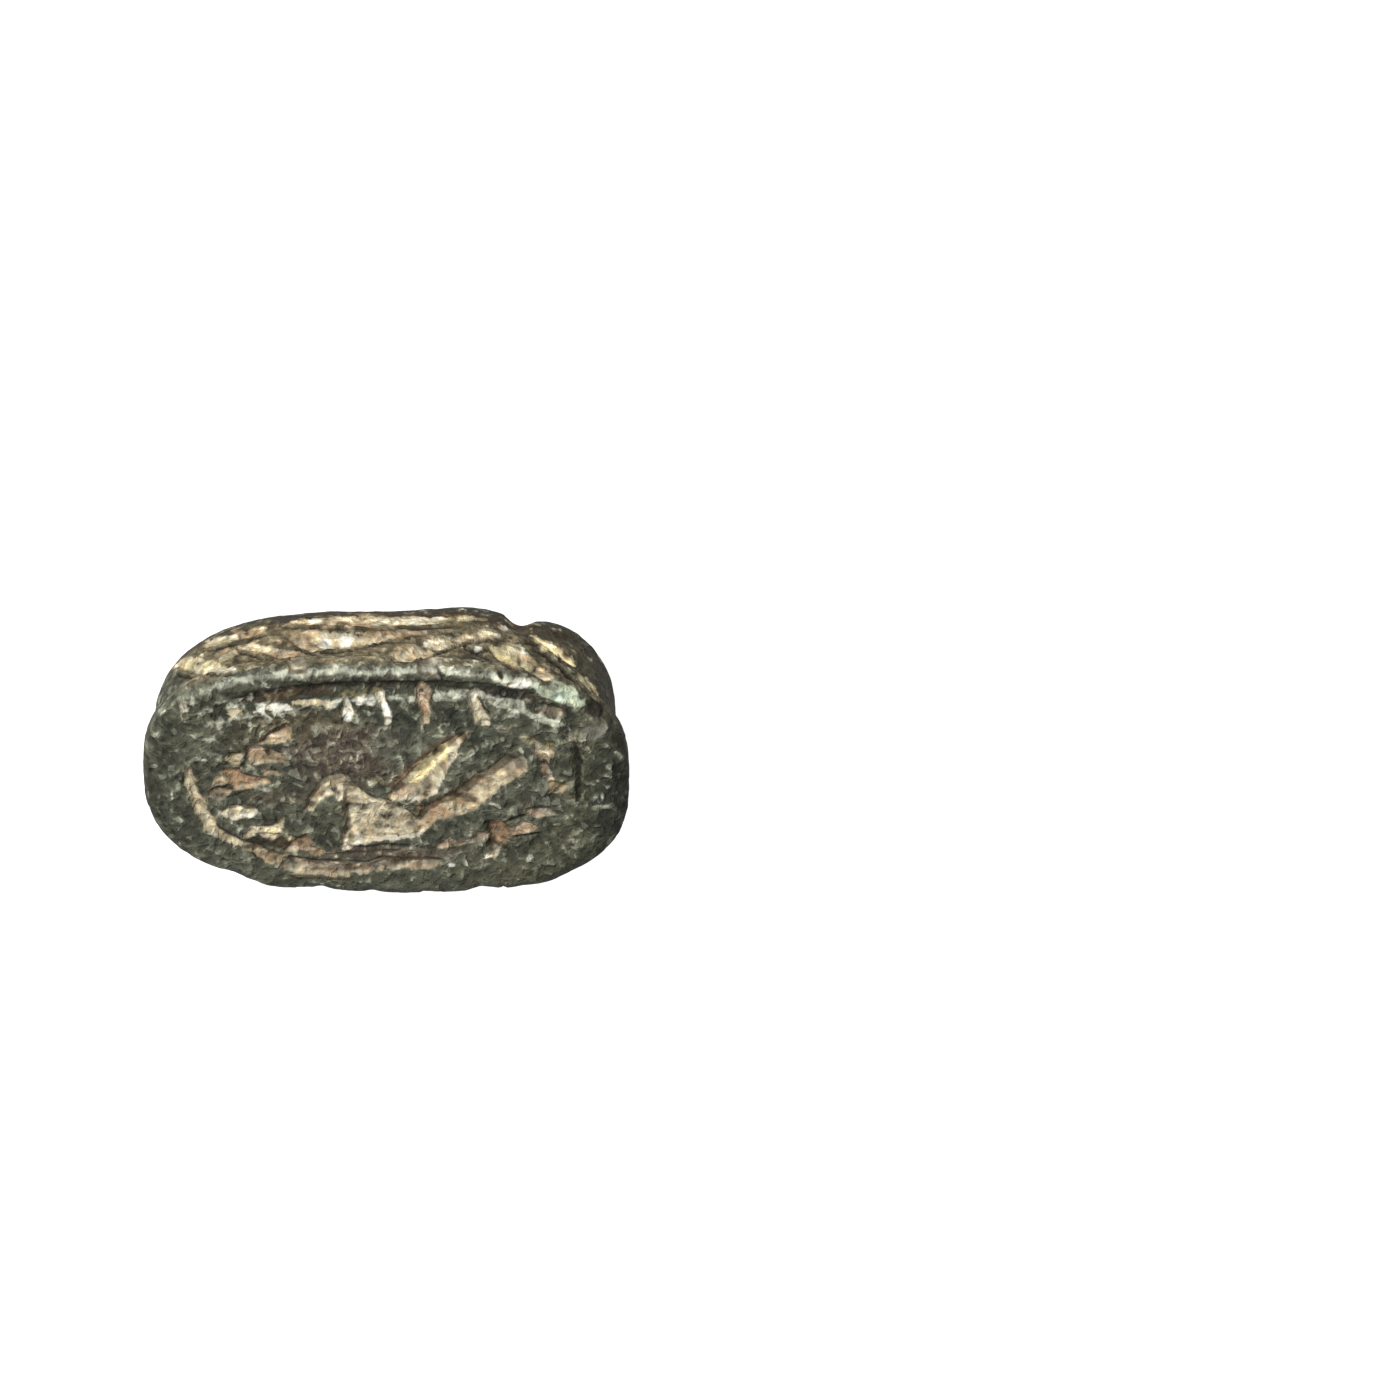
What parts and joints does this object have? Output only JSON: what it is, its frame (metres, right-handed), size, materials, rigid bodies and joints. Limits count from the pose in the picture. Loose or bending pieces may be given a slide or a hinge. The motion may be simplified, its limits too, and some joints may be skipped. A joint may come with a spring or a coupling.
{
  "type": "scarab amulet",
  "caption": "Small dark stone scarab bead with a domed beetle back, carved legs, a lengthwise string hole and an engraved falcon seal on its flat base.",
  "frame": {"origin": "centre of the worn flat spot on the domed back, on the surface the scarab lies on", "axes": "+Z out of the engraved seal face, long axis along X with the head toward -X, the long side seen in the picture toward -Y"},
  "size_m": [0.018, 0.0112, 0.0062],
  "materials": {
    "stone": "worn dark grey-green stone, mottled, with tan earth in the cuts"
  },
  "bodies": {
    "root": {"scarab": "stone"}
  },
  "joints": []
}
